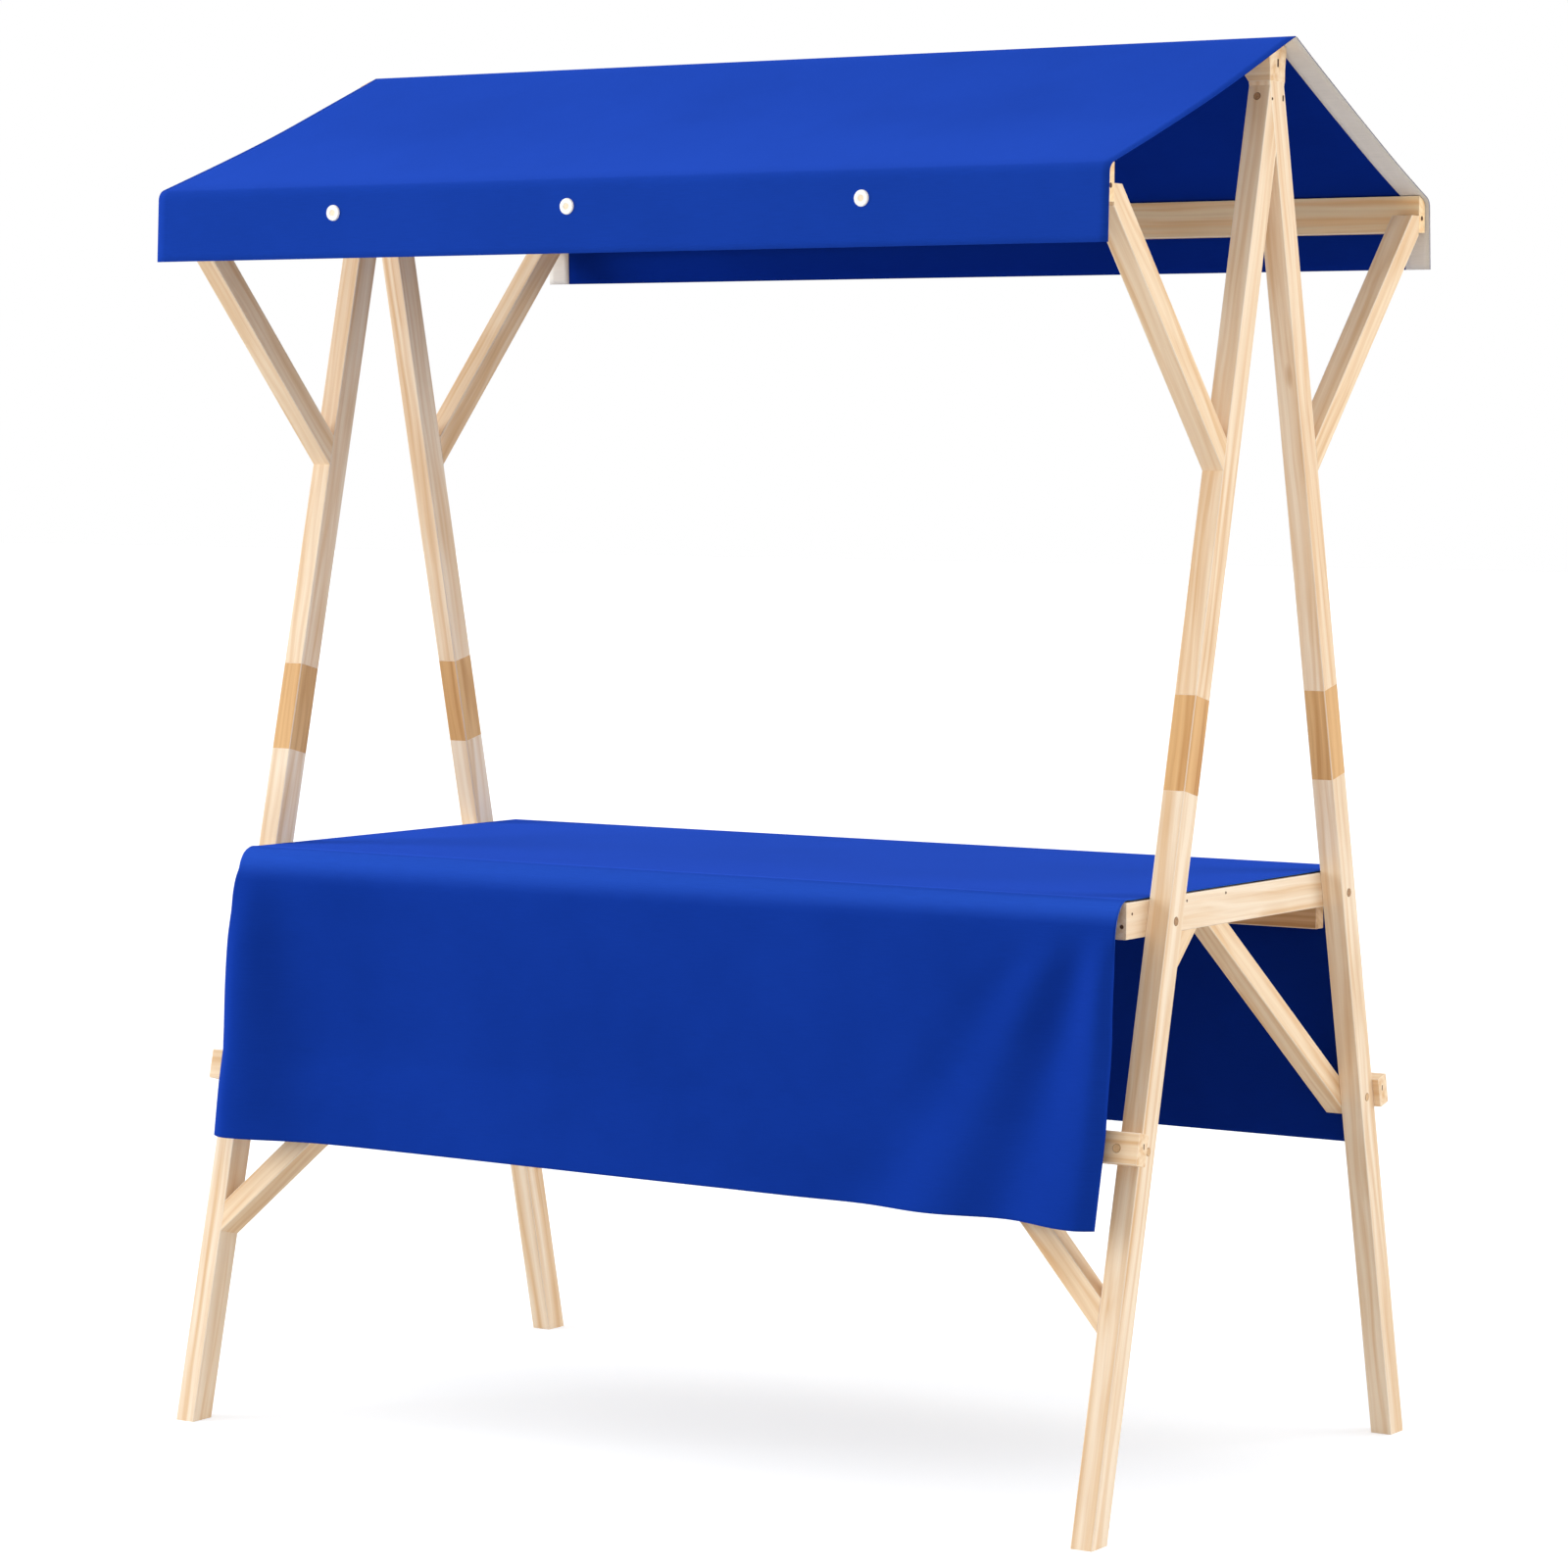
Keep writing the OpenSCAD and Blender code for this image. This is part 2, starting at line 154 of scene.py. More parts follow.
def makeWood(name, tone):
    material, tree, shader = startMaterial(name)
    layers = woodLayers
    grain = addNode(tree, "ShaderNodeAttribute", (-1700, 200), attribute_name="grain").outputs["Vector"]
    edge = addNode(tree, "ShaderNodeAttribute", (-700, -420), attribute_name="edge").outputs["Fac"]
    slow = addNoise(tree, grain, (-1300, 420), layers["wander"])
    wander = addNode(tree, "ShaderNodeVectorMath", (-1100, 300), operation="MULTIPLY_ADD")
    feed(tree, wander.inputs, (slow.outputs["Color"], layers["wander"]["reach"], grain))
    rings = addNode(tree, "ShaderNodeTexWave", (-900, 300), wave_type="RINGS", rings_direction="Z",
                    Scale=waveUnit / tone["spacing"], Distortion=layers["rings"]["distortion"],
                    Detail=2.0, Detail_Scale=0.06)
    tree.links.new(wander.outputs[0], rings.inputs["Vector"])
    fibre = addNoise(tree, grain, (-1300, 0), layers["fibre"])
    streak = addNoise(tree, wander.outputs[0], (-1300, -200), layers["streak"])
    blotch = addNoise(tree, grain, (-1300, -640), layers["blotch"])
    knots = addNode(tree, "ShaderNodeTexVoronoi", (-1300, -420), Scale=1.0)
    tree.links.new(addStretch(tree, grain, (-1500, -420), layers["knots"]["scale"]), knots.inputs["Vector"])
    colour = addRamp(tree, streak.outputs["Fac"], (-640, 300),
                     [(layers["streak"][wood], toLinear(*tone[wood])) for wood in ("late", "early")])
    for index, (key, source) in enumerate((("rings", rings), ("blotch", blotch), ("fibre", fibre))):
        shade = addRamp(tree, source.outputs["Fac"], (-640, 60 - 260 * index), layers[key]["stops"])
        colour = addMix(tree, "MULTIPLY", (-360 + 100 * index, 240), layers[key]["share"], colour, shade)
    knotMask = addRamp(tree, knots.outputs["Distance"], (-900, -420), layers["knots"]["stops"])
    colour = addMix(tree, "MIX", (0, 160), knotMask, colour, toLinear(*tone["knot"]))
    # painted highlight along the arrises, from the narrow bevel faces marked in the edge attribute
    arrisHighlightMask = addMath(tree, "MULTIPLY", (-420, -420), edge, layers["arris"]["share"])
    colour = addMix(tree, "MIX", (180, 120), arrisHighlightMask, colour, toLinear(*layers["arris"]["tone"]))
    tree.links.new(colour, shader.inputs["Base Color"])
    roughening = layers["fibre"]["roughening"]
    rough = addMath(tree, "MULTIPLY_ADD", (-420, -140), fibre.outputs["Fac"], roughening, tone["rough"] - roughening / 2)
    tree.links.new(rough, shader.inputs["Roughness"])
    height = addMath(tree, "ADD", (-420, -280), fibre.outputs["Fac"], rings.outputs["Fac"])
    bump = addNode(tree, "ShaderNodeBump", (180, -200), Strength=0.12, Distance=0.0005)
    tree.links.new(height, bump.inputs["Height"])
    tree.links.new(bump.outputs[0], shader.inputs["Normal"])
    shader.inputs["Specular IOR Level"].default_value = 0.22
    return material


woods = {name: makeWood(name, tone) for name, tone in woodTones.items()}
print("wood finishes ready")

# Dense weave: cobalt outside; the inner side is a deeper navy copy of it, painted shade; a paler rim and a paler tone
# at bends and eaves are painted highlights; the sheen takes the thread's own blue
threadBlue = (0.05, 0.16, 1.0, 1.0)
clothTones = {
    "clothOuter": {"body": (17, 54, 153), "faded": (19, 57, 159), "deep": (15, 51, 146), "paintedLight": (38, 83, 197),
                   "rough": 0.8, "sheen": 0.56, "tint": threadBlue},
    # the inner side: the same cloth made darker, painted shade
    "clothShadedInner": {"body": (10, 42, 134), "faded": (11, 44, 140), "deep": (9, 39, 127), "paintedLight": (11, 44, 140),
                   "rough": 0.85, "sheen": 0.0, "tint": threadBlue},
    # the tablecloth's rim: the cloth made paler, a painted highlight along its edges
    "clothRimHighlight": {"body": (46, 98, 208), "faded": (50, 102, 214), "deep": (42, 94, 200), "paintedLight": (50, 102, 214),
                  "rough": 0.8, "sheen": 0.2, "tint": threadBlue},
    "hemWebbing": {"body": (232, 226, 217), "faded": (240, 235, 228), "deep": (220, 213, 203), "paintedLight": (240, 235, 228),
                   "rough": 0.8, "sheen": 0.0, "tint": (1.0, 1.0, 1.0, 1.0)},
}
clothLayers = {
    "threads": {"pitch": 0.0016, "share": 0.5, "stops": [(0.1, (0.8, 0.8, 0.8)), (0.7, (1.0, 1.0, 1.0))]},
    "slub": {"scale": (28.0, 900.0, 1.0), "share": 0.6, "stops": [(0.3, (0.9, 0.9, 0.9)), (0.7, (1.06, 1.06, 1.06))]},
    "patches": {"scale": 3.2, "deep": 0.3, "body": 0.5, "faded": 0.75, "roughening": 0.14},
}


def makeCloth(name, tone):
    material, tree, shader = startMaterial(name)
    threads, slubs, patchy = (clothLayers[key] for key in ("threads", "slub", "patches"))
    uv = addNode(tree, "ShaderNodeUVMap", (-1500, 0), uv_map="weave").outputs[0]
    bands = []
    for index, direction in enumerate(("X", "Y")):
        thread = addNode(tree, "ShaderNodeTexWave", (-1000, -200 * index), wave_type="BANDS", bands_direction=direction,
                         Scale=waveUnit / threads["pitch"], Distortion=0.35, Detail=1.0, Detail_Scale=0.4)
        tree.links.new(uv, thread.inputs["Vector"])
        bands.append(thread.outputs["Fac"])
    weave = addMath(tree, "MAXIMUM", (-760, -100), *bands)
    patches = addNode(tree, "ShaderNodeTexNoise", (-1000, 380), Scale=patchy["scale"], Detail=3.0, Roughness=0.55)
    tree.links.new(uv, patches.inputs["Vector"])
    slub = addNode(tree, "ShaderNodeTexNoise", (-1000, 180), Scale=1.0, Detail=2.0)
    tree.links.new(addStretch(tree, uv, (-1240, 180), slubs["scale"]), slub.inputs["Vector"])
    colour = addRamp(tree, patches.outputs["Fac"], (-720, 380),
                     [(patchy[key], toLinear(*tone[key])) for key in ("deep", "body", "faded")])
    paintedLight = addNode(tree, "ShaderNodeAttribute", (-720, 600), attribute_name="paintedLight").outputs["Fac"]
    # painted highlight: a paler tone mixed in where the vertex attribute asks, at bends, eaves and valances
    colour = addMix(tree, "MIX", (-520, 420), paintedLight, colour, toLinear(*tone["paintedLight"]))  # paler where it bends over an edge
    slubTone = addRamp(tree, slub.outputs["Fac"], (-720, 160), slubs["stops"])
    colour = addMix(tree, "MULTIPLY", (-420, 300), slubs["share"], colour, slubTone)
    threadTone = addRamp(tree, weave, (-560, -100), threads["stops"])
    colour = addMix(tree, "MULTIPLY", (-220, 240), threads["share"], colour, threadTone)
    tree.links.new(colour, shader.inputs["Base Color"])
    rough = addMath(tree, "MULTIPLY_ADD", (-220, -40), patches.outputs["Fac"], patchy["roughening"],
                    tone["rough"] - patchy["roughening"] / 2)
    tree.links.new(rough, shader.inputs["Roughness"])
    bump = addNode(tree, "ShaderNodeBump", (-200, -240), Strength=0.16, Distance=0.0003)
    tree.links.new(weave, bump.inputs["Height"])
    soft = addNode(tree, "ShaderNodeBump", (0, -240), Strength=0.12, Distance=0.003)  # slow creases of a folded cloth
    tree.links.new(patches.outputs["Fac"], soft.inputs["Height"])
    tree.links.new(bump.outputs[0], soft.inputs["Normal"])
    tree.links.new(soft.outputs[0], shader.inputs["Normal"])
    shader.inputs["Specular IOR Level"].default_value = 0.0
    shader.inputs["Sheen Weight"].default_value = tone["sheen"]
    shader.inputs["Sheen Roughness"].default_value = 0.45
    shader.inputs["Sheen Tint"].default_value = tone["tint"]
    return material


cloths = {name: makeCloth(name, tone) for name, tone in clothTones.items()}

# Small fittings: plain finishes with a fine speckle
fittingTones = {
    "capWhite": {"light": (255, 254, 251), "dark": (248, 247, 243), "rough": 0.38, "speckle": 260.0},
    "capCream": {"light": (252, 236, 208), "dark": (242, 220, 186), "rough": 0.5, "speckle": 340.0},
    "boltPlug": {"light": (186, 146, 104), "dark": (150, 110, 72), "rough": 0.6, "speckle": 420.0},
    "holeShade": {"light": (104, 70, 42), "dark": (64, 40, 22), "rough": 0.85, "speckle": 300.0},
    "dowelEnd": {"light": (226, 190, 146), "dark": (205, 164, 118), "rough": 0.7, "speckle": 520.0},
}


def makeSpeckled(name, tone):
    material, tree, shader = startMaterial(name)
    place = addNode(tree, "ShaderNodeTexCoord", (-900, 0)).outputs["Object"]
    speck = addNode(tree, "ShaderNodeTexNoise", (-660, 0), Scale=tone["speckle"], Detail=4.0, Roughness=0.65)
    tree.links.new(place, speck.inputs["Vector"])
    colour = addRamp(tree, speck.outputs["Fac"], (-420, 60),
                     [(0.35, toLinear(*tone["dark"])), (0.62, toLinear(*tone["light"]))])
    tree.links.new(colour, shader.inputs["Base Color"])
    bump = addNode(tree, "ShaderNodeBump", (-200, -200), Strength=0.12, Distance=0.0003)
    tree.links.new(speck.outputs["Fac"], bump.inputs["Height"])
    tree.links.new(bump.outputs[0], shader.inputs["Normal"])
    shader.inputs["Roughness"].default_value = tone["rough"]
    return material


speckled = {name: makeSpeckled(name, tone) for name, tone in fittingTones.items()}
print("cloth and fitting finishes ready")


def placePiece(name, bm, materials, smooth=False):
    if smooth:
        for face in bm.faces:
            face.smooth = True
    mesh = bpy.data.meshes.new(name)
    bm.to_mesh(mesh)
    bm.free()
    for material in materials:
        mesh.materials.append(material)
    piece = bpy.data.objects.new(name, mesh)
    bpy.context.scene.collection.objects.link(piece)
    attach(piece, "root")
    return piece


cadClean = {"merge": 0.00002, "flat": math.radians(0.5)}


def copyNode(name):  # a CAD node's loose triangles as one clean mesh
    bm = bmesh.new()
    bm.from_mesh(cadNodes[name].data)
    bm.transform(cadNodes[name].matrix_world)
    bmesh.ops.remove_doubles(bm, verts=bm.verts, dist=cadClean["merge"])
    bmesh.ops.dissolve_limit(bm, angle_limit=cadClean["flat"], verts=bm.verts, edges=bm.edges)
    return bm


# Boards and battens: each CAD member again, with eased arrises and grain along its length
legLow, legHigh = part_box("front_right_leg_lower")
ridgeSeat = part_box("ridge_beam")[0][2]
legLine = {"foot": round(legLow[1], 6), "apex": -0.023, "top": round(ridgeSeat, 6)}  # front face of the front legs
splay = math.atan((legLine["apex"] - legLine["foot"]) / legLine["top"])
timber = {
    "arris": 0.0016, "endArris": 0.0004, "sharp": math.radians(40), "lengthwise": 0.9, "arrisFace": 0.0019,
    "strut": math.radians(43), "frontKnee": math.radians(48), "backKnee": math.radians(55),  # from upright
    "stretcherBrace": math.radians(45),
    "heartX": (0.035, 0.06, 0.618), "heartY": (0.03, 0.07, 0.381),  # nearest, spread, scatter
    "scatterStart": 0.137, "heartStep": 1.7,
}
alongStall, acrossStall = Vector((1, 0, 0)), Vector((0, 1, 0))


def slanted(lean, sideways=0.0):  # leans from upright in the plane of an A-frame, then along the stall
    return Vector((math.sin(sideways), math.cos(sideways) * math.sin(lean), math.cos(sideways) * math.cos(lean)))


def pair(end, part):
    return [end + side + part for side in ("_left_", "_right_")]


memberGroups = [  # finish, slot, direction of the grain, nodes
    ("legPine", "leg_wood", slanted(splay), pair("front", "leg_lower")),
    ("upperPineWarmShade", "leg_wood", slanted(splay), pair("front", "leg_upper")),
    ("legPine", "leg_wood", slanted(-splay), pair("back", "leg_lower")),
    ("upperPineWarmShade", "leg_wood", slanted(-splay), pair("back", "leg_upper")),
    ("spliceOak", "splice_wood", slanted(splay), pair("front", "leg_splice")),
    ("spliceOak", "splice_wood", slanted(-splay), pair("back", "leg_splice")),
    ("battenPine", "batten_wood", alongStall, ["ridge_beam", "front_stretcher", "back_stretcher"]),
    ("purlinPineWarmShade", "batten_wood", alongStall, ["front_eave_purlin", "back_eave_purlin"]),
    ("battenPine", "batten_wood", slanted(-timber["strut"]), pair("front", "roof_strut")),
    ("battenPine", "batten_wood", slanted(timber["strut"]), pair("back", "roof_strut")),
    ("legPine", "batten_wood", acrossStall, ["left_side_rail", "right_side_rail"]),
    ("battenPine", "batten_wood", slanted(timber["frontKnee"]), pair("front", "knee_brace")),
    ("battenPine", "batten_wood", slanted(-timber["backKnee"]), pair("back", "knee_brace")),
    ("battenPine", "batten_wood", slanted(splay, timber["stretcherBrace"]), ["left_stretcher_brace"]),
    ("battenPine", "batten_wood", slanted(splay, -timber["stretcherBrace"]), ["right_stretcher_brace"]),
    ("boardPine", "table_wood", alongStall, ["front_table_rail", "back_table_rail", "tabletop"]),
]


def easeEdges(bm, along, offset, lengthwise):
    chosen = []
    for edge in bm.edges:
        if not edge.is_manifold or edge.calc_face_angle_signed() < timber["sharp"]:
            continue
        direction = (edge.verts[1].co - edge.verts[0].co).normalized()
        if (abs(direction.dot(along)) > timber["lengthwise"]) == lengthwise:
            chosen.append(edge)
    bmesh.ops.bevel(bm, geom=chosen, offset=offset, offset_type="OFFSET", affect="EDGES", segments=2, profile=0.5,
                    material=-1, clamp_overlap=True)


def heartPlace(count):  # where the tree's heart lies from a board, evenly scattered and repeatable
    place = []
    for nearest, spread, scatter in (timber["heartX"], timber["heartY"]):
        place.append(nearest + spread * ((count * scatter + timber["scatterStart"]) % 1.0))
    return Vector((*place, timber["heartStep"] * count))


def buildTimber():
    count = 0
    for finish, slotName, along, names in memberGroups:
        turn = along.to_track_quat("Z", "Y").to_matrix().transposed()
        for name in names:
            bm = copyNode(name)
            easeEdges(bm, along, timber["arris"], True)
            easeEdges(bm, along, timber["endArris"], False)
            grainLayer = bm.verts.layers.float_vector.new("grain")
            arrisHighlightLayer = bm.faces.layers.float.new("edge")
            heart = heartPlace(count)
            for vert in bm.verts:
                vert[grainLayer] = turn @ vert.co + heart
            # narrow bevel faces get the painted arris highlight
            for face in bm.faces:
                width = face.calc_area() / max(edge.calc_length() for edge in face.edges)
                face[arrisHighlightLayer] = 1.0 if width < timber["arrisFace"] else 0.0
            piece = placePiece(name + ".timber", bm, [woods[finish]])
            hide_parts(name)
            count += 1
    print("timber pieces:", count)


buildTimber()

# Canopy: one sheet from hem to hem, over both purlins and the ridge beam
canopyLow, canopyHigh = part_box("canopy")
canopyLength = canopyHigh[0] - canopyLow[0]
canopySheet = {
    "columns": 112, "thickness": 0.0012, "pitch": math.radians(22.25), "eaveRadius": 0.020, "ridgeRadius": 0.016,
    "valanceRows": 9, "eaveRows": 6, "slopeRows": 20, "ridgeRows": 4,
    "sag": 0.0055, "sagSwing": 0.5, "billow": 0.0035, "billowMean": 0.9, "fineShare": 0.5,
    "sagWaves": (1.9, 2.3, 2.0), "broadWaves": (2.3, 3.1, 0.4), "fineWaves": (5.9, 7.7, 1.9),  # along x, then seeds
    # the eave and slope shares set a painted highlight, palest at the eave and on the valance, less up the slope
    "ridgeShift": (0.022, 0.024), "frontLeftReach": 0.012, "eaveHighlight": 0.24, "slopeHighlight": 0.10, "boundEdge": 0.020,
}
canopyHem = {"columns": 4, "width": 0.044, "inset": 0.0008, "depth": 0.0016, "thickness": 0.0009}


def canopyProfile():  # rows of y, z, outward y, outward z and the part of the way up the slope
    pitch, eave, crown = (canopySheet[key] for key in ("pitch", "eaveRadius", "ridgeRadius"))
    valanceRows, eaveRows, slopeRows, ridgeRows = \
        (canopySheet[key] for key in ("valanceRows", "eaveRows", "slopeRows", "ridgeRows"))
    eaveY, hemZ, ridgeZ = canopyHigh[1], canopyLow[2], canopyHigh[2]
    centreY = eaveY - eave
    centreZ = ridgeZ - math.tan(pitch) * centreY - eave / math.cos(pitch)
    crownZ = ridgeZ - crown / math.cos(pitch)
    points = []

    def addTurn(y, z, radius, angle, part):
        outY, outZ = math.cos(angle), math.sin(angle)
        points.append((y + radius * outY, z + radius * outZ, outY, outZ, part))

    for step in range(valanceRows):
        part = step / valanceRows
        points.append((-eaveY, blend(hemZ, centreZ, part), -1.0, 0.0, part - 1))
    for step in range(eaveRows + 1):
        addTurn(-centreY, centreZ, eave, math.pi - (math.pi / 2 - pitch) * step / eaveRows, 0.0)
    startY, startZ = points[-1][:2]
    endY, endZ = -crown * math.sin(pitch), crownZ + crown * math.cos(pitch)
    for step in range(1, slopeRows):
        part = step / slopeRows
        points.append((blend(startY, endY, part), blend(startZ, endZ, part), -math.sin(pitch), math.cos(pitch), part))
    for step in range(ridgeRows + 1):
        addTurn(0.0, crownZ, crown, math.pi / 2 + pitch * (1 - step / ridgeRows), 1.0)
    back = [(-y, z, -outY, outZ, part) for y, z, outY, outZ, part in reversed(points[:-1])]
    return points + back


profileRows = canopyProfile()
rowLength = [0.0]
for lower, upper in zip(profileRows, profileRows[1:]):
    rowLength.append(rowLength[-1] + math.dist(lower[:2], upper[:2]))


def canopyPoint(row, across, depth):
    y, z, outY, outZ, part = profileRows[row]
    side = -1 if y < 0 else 1
    x = canopyLow[0] + canopyLength * across
    push = -depth
    if part < 0:  # valance: hangs free below the purlin, so it only billows outwards
        broad, fine = (noise.noise(Vector((x * waves, side * sideSeed, seed)))
                       for waves, sideSeed, seed in (canopySheet["broadWaves"], canopySheet["fineWaves"]))
        push += canopySheet["billow"] * -part * (canopySheet["billowMean"] + broad + canopySheet["fineShare"] * fine)
    elif 0 < part < 1:  # slope: sags a little between the eave and the ridge
        waves, sideSeed, rise = canopySheet["sagWaves"]
        swell = 1 + canopySheet["sagSwing"] * noise.noise(Vector((x * waves, side * sideSeed, part * rise)))
        push -= canopySheet["sag"] * math.sin(math.pi * part) * swell
    upSlope = max(part, 0.0)
    shift = blend(*canopySheet["ridgeShift"], across) * upSlope
    if side < 0:
        shift -= canopySheet["frontLeftReach"] * (1 - across) * (1 - upSlope)
    return Vector((x + shift, y + outY * push, z + outZ * push))


def faceUp(bm):
    bmesh.ops.recalc_face_normals(bm, faces=bm.faces)
    if sum(face.normal.z for face in bm.faces) < 0:
        bmesh.ops.reverse_faces(bm, faces=bm.faces)


def addWall(piece, thickness, offset, innerStep, rimStep):  # steps to the materials of the inner side and the rim
    wall = piece.modifiers.new("wall", "SOLIDIFY")
    wall.thickness = thickness
    wall.offset = offset
    wall.material_offset = innerStep
    wall.material_offset_rim = rimStep


def layStrip(columns, first, last, width, depth, paintedLight):  # a stretch of the canopy's surface, from hem to hem
    rows = len(profileRows)
    bm = bmesh.new()
    bmesh.ops.create_grid(bm, x_segments=columns, y_segments=rows - 1, size=1.0)
    weave = bm.loops.layers.uv.new("weave")
    paintedLightLayer = bm.verts.layers.float.new("paintedLight")
    for vert in bm.verts:
        row = round((vert.co.y + 1) / 2 * (rows - 1))
        part = (vert.co.x + 1) / 2
        vert.co = canopyPoint(row, blend(first, last, part), depth)
        # painted highlight: the paler tone at the eave and valance stands in for light falling there
        if paintedLight:  # palest at the eave and on the valance
            vert[paintedLightLayer] = blend(canopySheet["eaveHighlight"], canopySheet["slopeHighlight"], limit(profileRows[row][4] * 2))
        for loop in vert.link_loops:
            loop[weave].uv = (part * width, rowLength[row])
    faceUp(bm)
    return bm


def buildCanopy():
    bm = layStrip(canopySheet["columns"], 0.0, 1.0, canopyLength, 0.0, True)
    for face in bm.faces:  # the back half's right end shows its bound edge
        centre = face.calc_center_median()
        if centre.y > 0 and centre.x > canopyHigh[0] - canopySheet["boundEdge"]:
            face.material_index = 2
    layers = [cloths[name] for name in ("clothOuter", "clothShadedInner", "clothOuter", "clothShadedInner", "hemWebbing")]
    piece = placePiece("canopySheet", bm, layers, smooth=True)
    addWall(piece, canopySheet["thickness"], -1.0, 1, 2)
    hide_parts("canopy")
    return piece


def buildHem(name, first, last):
    bm = layStrip(canopyHem["columns"], first, last, canopyHem["width"], canopyHem["depth"], False)
    for face in bm.faces:  # dark rim on the front half, pale on the back half
        face.material_index = 2 if face.calc_center_median().y > 0 else 0
    layers = [cloths[layer] for layer in ("hemWebbing", "clothShadedInner", "hemWebbing", "hemWebbing")]
    piece = placePiece(name, bm, layers, smooth=True)
    addWall(piece, canopyHem["thickness"], -1.0, 0, 1)
    return piece


hemPart = canopyHem["width"] / canopyLength
insetPart = canopyHem["inset"] / canopyLength
canopyPiece = buildCanopy()
canopyHems = [buildHem("canopyHemLeft", insetPart, hemPart), buildHem("canopyHemRight", 1 - hemPart, 1 - insetPart)]
print("canopy built, cut length", round(rowLength[-1], 3))

# Buttons: a round head with an eased rim, dished where it has a lip
buttonShape = {"sides": 28, "taper": 0.96, "easeOfHeight": 0.5, "easeOfRadius": 0.2, "dishSlope": 0.06}


def addButton(bm, point, normal, size, rimMaterial=0, faceMaterial=0):
    radius, height = size["radius"], size["height"]
    made = bmesh.ops.create_cone(bm, cap_ends=True, segments=buttonShape["sides"], radius1=radius,
                                 radius2=radius * buttonShape["taper"], depth=height)["verts"]
    bmesh.ops.translate(bm, verts=made, vec=(0, 0, height / 2))
    faces = {face for vert in made for face in vert.link_faces}
    top = max(faces, key=lambda face: face.calc_center_median().z)
    ease = min(height * buttonShape["easeOfHeight"], radius * buttonShape["easeOfRadius"])
    eased = bmesh.ops.bevel(bm, geom=list(top.edges), offset=ease, offset_type="OFFSET", affect="EDGES", segments=3,
                            profile=0.5, material=-1)
    caps = [face for face in bm.faces if len(face.verts) == buttonShape["sides"] and face.normal.z > 0.9
            and face.calc_center_median().length < radius]
    top = max(caps, key=lambda face: face.calc_center_median().z)
    for face in faces | set(eased["faces"]):
        if face.is_valid:
            face.material_index = rimMaterial
    if "lip" in size:
        bmesh.ops.inset_region(bm, faces=[top], thickness=size["lip"], depth=0.0, use_even_offset=True)
        bmesh.ops.inset_region(bm, faces=[top], thickness=radius * buttonShape["dishSlope"], depth=-size["dip"],
                               use_even_offset=True)
    top.material_index = faceMaterial
    seen, queue = set(), [top]
    while queue:  # the whole button, face by face
        face = queue.pop()
        if face not in seen:
            seen.add(face)
            queue += [other for edge in face.edges for other in edge.link_faces]
    verts = list({vert for face in seen for vert in face.verts})
    turn = normal.to_track_quat("Z", "Y").to_matrix().to_4x4()
    bmesh.ops.transform(bm, verts=verts, matrix=Matrix.Translation(point) @ turn)


# Press caps along both valances: a white ring round a cream button
pressCap = {"places": (-0.545, -0.076, 0.474), "level": 2.052,
            "radius": 0.0132, "height": 0.0032, "lip": 0.0052, "dip": 0.0007}


def buildCaps(name, side):
    bm = bmesh.new()
    valanceRow = next(index for index, row in enumerate(profileRows) if row[1] > pressCap["level"])
    for x in pressCap["places"]:
        cloth = canopyPoint(valanceRow, (x - canopyLow[0]) / canopyLength, 0.0)
        point = Vector((x, side * abs(cloth.y), pressCap["level"]))
        addButton(bm, point, Vector((0, side, 0)), pressCap, 0, 1)
    return placePiece(name, bm, [speckled["capWhite"], speckled["capCream"]])


capPieces = [buildCaps("frontValanceCaps", -1), buildCaps("backValanceCaps", 1)]
print("valance caps placed")

# Tablecloth: laid over the counter, settled by a cloth simulation, then given its soft front bend and end folds.
# Pairs run from the left end to the right end, from low to high, or from where a change starts to where it ends.
tableCloth = {
    "halfLength": 0.856, "columns": 96, "crowding": 0.28, "rowPitch": 0.0105, "thickness": 0.0014, "lift": 0.0035,
    "frontHem": (0.487, 0.480), "hemFlare": (0.014, 0.016), "backHem": 0.510,
    "railGap": 0.0045, "backTurnY": 0.006, "backTurnZ": 0.008,
    "battenDepth": 0.030, "battenSpan": (0.578, 0.632), "heldHalf": 0.38, "heldAbove": 0.97, "weaveStart": 3.0,
    "bend": {"left": 0.050, "right": 0.039, "lip": math.radians(78), "steps": 12, "set": 0.0273, "rise": 0.036},
    # painted highlight along the front bend: its share on the top, where it starts and how deep it reaches
    "bendHighlight": {"behind": 0.05, "level": 0.0004, "top": 0.35, "start": 0.010, "depth": 0.039, "narrowing": 0.009},
    "drop": {"top": 0.945, "length": 0.46, "ripple": 0.0015, "rippleWaves": 7.0, "rippleStart": 1.1,
             "kept": 0.30, "calmAfter": 0.08, "calmLength": 0.12, "sway": (-0.004, 0.0005), "sink": 0.3,
             "endReach": 0.006, "endFall": 0.3, "endFrom": 0.70, "endWidth": 0.156},
    "leftFold": {"at": -0.822, "inside": 0.030, "widening": 0.050, "outside": 0.034, "push": 0.047,
                 "opening": 0.25, "belly": 0.18},
    "cornerFold": {"from": 0.868, "top": 0.90, "first": 0.048, "lean": 0.15, "spacing": 0.055, "fan": 0.21,
                   "reach": 2.1, "onset": 6, "clear": (0.35, 0.95), "clearBetween": (0.76, 0.64),
                   "slope": (0.62, 0.44), "slopeBetween": (0.80, 0.60), "roll": 0.015, "rollBetween": (0.822, 0.856)},
}
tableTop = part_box("tabletop")
clothPaths = {}


def legFront(z):  # y of the front legs' front face at a height
    return legLine["foot"] + math.tan(splay) * z


def battenFront(z):  # y of the front stretcher's front face at a height
    return legFront(z) - tableCloth["battenDepth"] / math.cos(splay)


